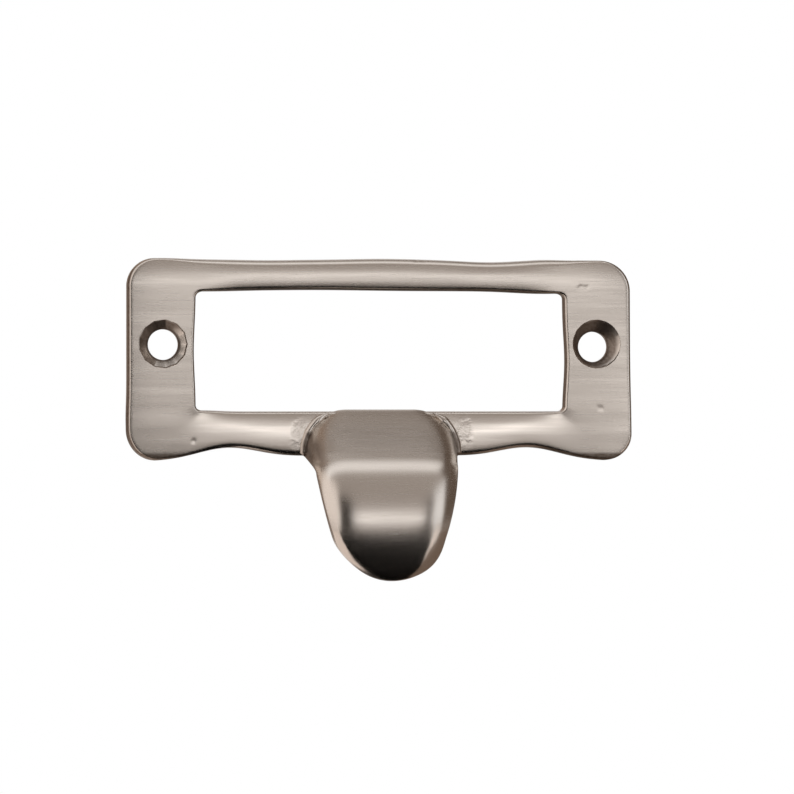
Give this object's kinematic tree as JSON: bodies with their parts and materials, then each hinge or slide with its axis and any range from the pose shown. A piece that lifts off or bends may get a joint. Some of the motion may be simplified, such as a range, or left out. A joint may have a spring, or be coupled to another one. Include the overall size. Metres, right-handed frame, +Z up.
{
  "type": "label frame pull",
  "caption": "Cast drawer label frame with a card window, screw ears at both ends and a curved finger tongue below, in brushed nickel plate.",
  "frame": {"origin": "midway between the screw holes, on the back face", "axes": "+X to the right across the frame, +Y out of the back face into the drawer front, +Z up"},
  "size_m": [0.0752, 0.0162, 0.0478],
  "materials": {
    "plated_brass": "brushed nickel plate"
  },
  "bodies": {
    "root": {"label_frame_pull": "plated_brass"}
  },
  "joints": []
}
